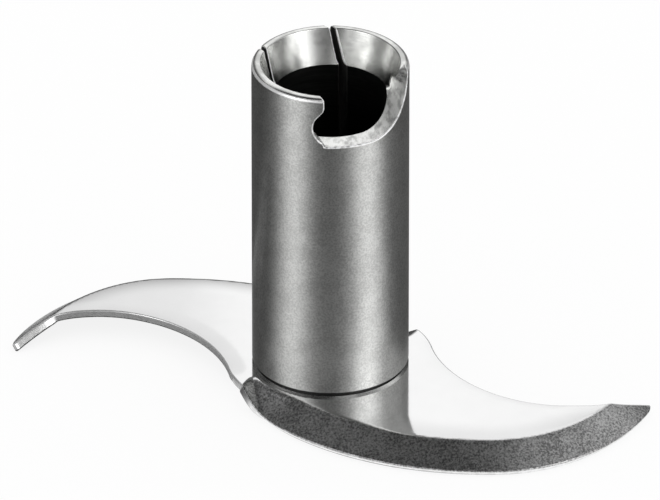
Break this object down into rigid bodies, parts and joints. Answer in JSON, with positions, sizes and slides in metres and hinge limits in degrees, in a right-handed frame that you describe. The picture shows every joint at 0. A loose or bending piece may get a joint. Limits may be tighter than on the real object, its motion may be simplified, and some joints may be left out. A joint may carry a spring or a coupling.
{
  "type": "immersion blender blade",
  "caption": "S-shaped stamped steel knife with bent-down flanks, riveted under a turned tube hub that has a bayonet mouth and a spring tongue.",
  "frame": {"origin": "on the hub's axis, on the plane on which the lower edges of the flanks rest", "axes": "+Z along the hub's axis towards the open mouth, +X along the blade from tip to tip"},
  "size_m": [0.0738, 0.0434, 0.0421],
  "materials": {
    "satin_steel": "turned and tumbled stainless steel, satin, with polished mouth",
    "polished_steel": "stamped stainless sheet, polished flat, fine-ground flanks"
  },
  "bodies": {
    "root": {"hub": "satin_steel", "blade": "polished_steel"}
  },
  "joints": []
}
